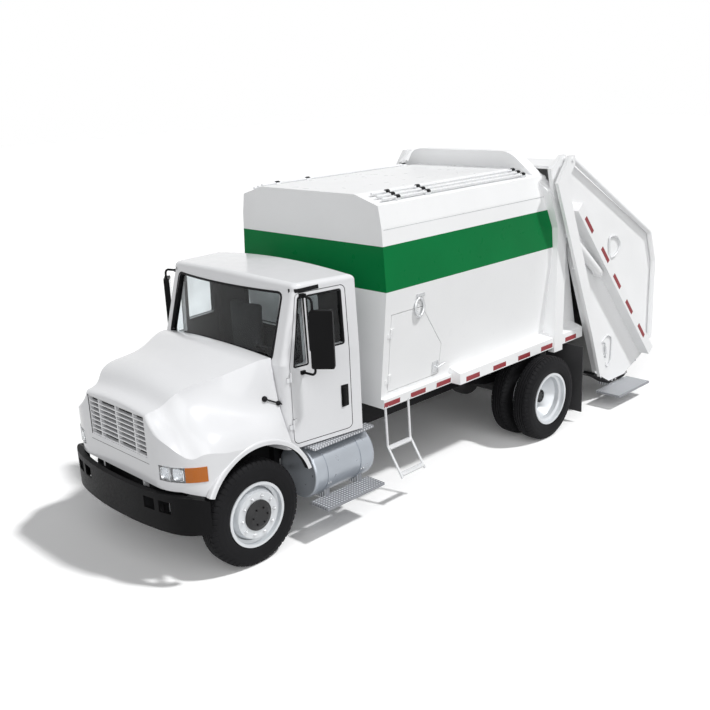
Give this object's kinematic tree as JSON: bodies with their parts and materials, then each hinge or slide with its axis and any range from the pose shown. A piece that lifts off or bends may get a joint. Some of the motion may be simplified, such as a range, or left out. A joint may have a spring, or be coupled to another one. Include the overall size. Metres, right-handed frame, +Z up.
{
  "type": "garbage truck",
  "caption": "Bonneted rear-loading garbage truck with a compactor body, tilting hood, lifting tailgate and packer.",
  "frame": {"origin": "on the ground under the middle of the truck's length and width", "axes": "+Z up, the truck faces -Y, +X is its left side"},
  "size_m": [2.79, 7.4149, 3.24],
  "materials": {
    "white_paint": "gloss",
    "body_white": "satin gloss",
    "chassis_black": "satin",
    "bumper_black": "satin",
    "axle_iron": "matte",
    "spring_steel": "satin",
    "engine_grey": "matte",
    "radiator_black": "matte",
    "lamp_clear": "clear",
    "lamp_amber": "gloss",
    "lamp_red": "gloss",
    "window_glass": "tinted",
    "mirror_black": "satin",
    "tank_aluminium": "brushed",
    "tread_plate": "checker plate",
    "cab_plastic": "grained",
    "seat_cloth": "woven",
    "pipe_white": "satin",
    "ladder_grey": "satin",
    "flap_rubber": "matte",
    "hopper_steel": "worn",
    "cylinder_white": "gloss",
    "rod_steel": "polished",
    "tyre": "matte",
    "rim_silver": "satin"
  },
  "bodies": {
    "chassis": {"frame_rails": "chassis_black", "front_bumper": "bumper_black", "front_axle": "axle_iron", "leaf_springs": "spring_steel", "rear_axle": "axle_iron", "driveshaft": "spring_steel", "engine_block": "engine_grey", "radiator": "radiator_black", "cab_body": "white_paint", "cab_glass": "window_glass", "cab_roof": "white_paint", "fuel_tanks": "tank_aluminium", "tank_steps": "tread_plate", "dashboard": "cab_plastic", "steering_wheel": "cab_plastic", "seats": "seat_cloth", "refuse_body": "body_white", "body_subframe": "chassis_black", "rear_arch": "body_white", "side_rails": "body_white", "roof_pipes": "pipe_white", "body_ladder": "ladder_grey", "mudflaps": "flap_rubber"},
    "hood_unit": {"hood": "white_paint", "headlamps": "lamp_clear", "turn_lamps": "lamp_amber", "grille": "white_paint"},
    "left_door": {"door_left": "white_paint", "door_glass_left": "window_glass", "mirror_left": "mirror_black"},
    "right_door": {"door_right": "white_paint", "door_glass_right": "window_glass", "mirror_right": "mirror_black"},
    "side_door": {"body_side_door": "body_white"},
    "left_knuckle": {"knuckle_left": "axle_iron"},
    "right_knuckle": {"knuckle_right": "axle_iron"},
    "front_wheel_left": {"front_tyre_left": "tyre", "front_rim_left": "rim_silver"},
    "front_wheel_right": {"front_tyre_right": "tyre", "front_rim_right": "rim_silver"},
    "rear_wheels_left": {"rear_tyres_left": "tyre", "rear_rims_left": "rim_silver"},
    "rear_wheels_right": {"rear_tyres_right": "tyre", "rear_rims_right": "rim_silver"},
    "tailgate": {"tailgate_sides": "body_white", "tailgate_roof": "body_white", "hopper": "hopper_steel", "tailgate_beams": "body_white", "packer_tracks": "body_white", "rim_tubes": "body_white", "tailgate_sills": "chassis_black", "side_steps": "tread_plate", "tail_lamps": "lamp_red"},
    "packer": {"packer_panel": "hopper_steel"},
    "sweep": {"sweep_blade": "hopper_steel"},
    "left_lift_barrel": {"lift_barrel_left": "cylinder_white"},
    "right_lift_barrel": {"lift_barrel_right": "cylinder_white"},
    "left_lift_rod": {"lift_rod_left": "rod_steel"},
    "right_lift_rod": {"lift_rod_right": "rod_steel"}
  },
  "joints": [
    {"name": "hood_tilt", "type": "hinge", "parent": "chassis", "child": "hood_unit", "pos_m": [0, -3.6375, 0.8], "axis": [1, 0, 0], "range_deg": [0, 50]},
    {"name": "left_door_hinge", "type": "hinge", "parent": "chassis", "child": "left_door", "pos_m": [0.93386, -2.3904, 1.65], "axis": [0, 0, -1], "range_deg": [0, 65]},
    {"name": "right_door_hinge", "type": "hinge", "parent": "chassis", "child": "right_door", "pos_m": [-0.93386, -2.3904, 1.65], "axis": [0, 0, 1], "range_deg": [0, 65]},
    {"name": "side_door_hinge", "type": "hinge", "parent": "chassis", "child": "side_door", "pos_m": [0.94618, -1.1895, 1.13387], "axis": [-0.1129, 0, -0.9936], "range_deg": [0, 100]},
    {"name": "steering_left", "type": "hinge", "parent": "chassis", "child": "left_knuckle", "pos_m": [0.73, -2.8925, 0.484], "axis": [0, 0, 1], "range_deg": [-28, 28]},
    {"name": "steering_right", "type": "hinge", "parent": "chassis", "child": "right_knuckle", "pos_m": [-0.73, -2.8925, 0.484], "axis": [0, 0, 1], "range_deg": [-28, 28]},
    {"name": "front_wheel_left_spin", "type": "hinge", "parent": "left_knuckle", "child": "front_wheel_left", "pos_m": [0.73, -2.8925, 0.484], "axis": [1, 0, 0], "continuous": true},
    {"name": "front_wheel_right_spin", "type": "hinge", "parent": "right_knuckle", "child": "front_wheel_right", "pos_m": [-0.73, -2.8925, 0.484], "axis": [1, 0, 0], "continuous": true},
    {"name": "rear_wheels_left_spin", "type": "hinge", "parent": "chassis", "child": "rear_wheels_left", "pos_m": [1, 1.1535, 0.484], "axis": [1, 0, 0], "continuous": true},
    {"name": "rear_wheels_right_spin", "type": "hinge", "parent": "chassis", "child": "rear_wheels_right", "pos_m": [-1, 1.1535, 0.484], "axis": [1, 0, 0], "continuous": true},
    {"name": "tailgate_lift", "type": "hinge", "parent": "chassis", "child": "tailgate", "pos_m": [0, 1.5275, 3.13], "axis": [1, 0, 0], "range_deg": [0, 45]},
    {"name": "packer_slide", "type": "slide", "parent": "tailgate", "child": "packer", "axis": [0, -0.6462, 0.7631], "range_m": [0, 0.56]},
    {"name": "sweep_turn", "type": "hinge", "parent": "packer", "child": "sweep", "pos_m": [0, 2.80603, 1.33598], "axis": [1, 0, 0], "range_deg": [0, 95]},
    {"name": "left_barrel_turn", "type": "hinge", "parent": "tailgate", "child": "left_lift_barrel", "pos_m": [1.122, 2.3225, 1.715], "axis": [1, 0, 0], "range_deg": [0, 12.17]},
    {"name": "left_rod_slide", "type": "slide", "parent": "left_lift_barrel", "child": "left_lift_rod", "axis": [0, -0.7675, 0.641], "range_m": [0, 0.6358]},
    {"name": "right_barrel_turn", "type": "hinge", "parent": "tailgate", "child": "right_lift_barrel", "pos_m": [-1.122, 2.3225, 1.715], "axis": [1, 0, 0], "range_deg": [0, 12.17]},
    {"name": "right_rod_slide", "type": "slide", "parent": "right_lift_barrel", "child": "right_lift_rod", "axis": [0, -0.7675, 0.641], "range_m": [0, 0.6358]}
  ],
  "couplings": [
    {"joint": "steering_right", "follows": "steering_left", "ratio": 1},
    {"joint": "left_barrel_turn", "follows": "tailgate_lift", "ratio": 0.25928},
    {"joint": "left_rod_slide", "follows": "tailgate_lift", "m_per_rad": 0.80569},
    {"joint": "right_barrel_turn", "follows": "tailgate_lift", "ratio": 0.25928},
    {"joint": "right_rod_slide", "follows": "tailgate_lift", "m_per_rad": 0.80569}
  ]
}
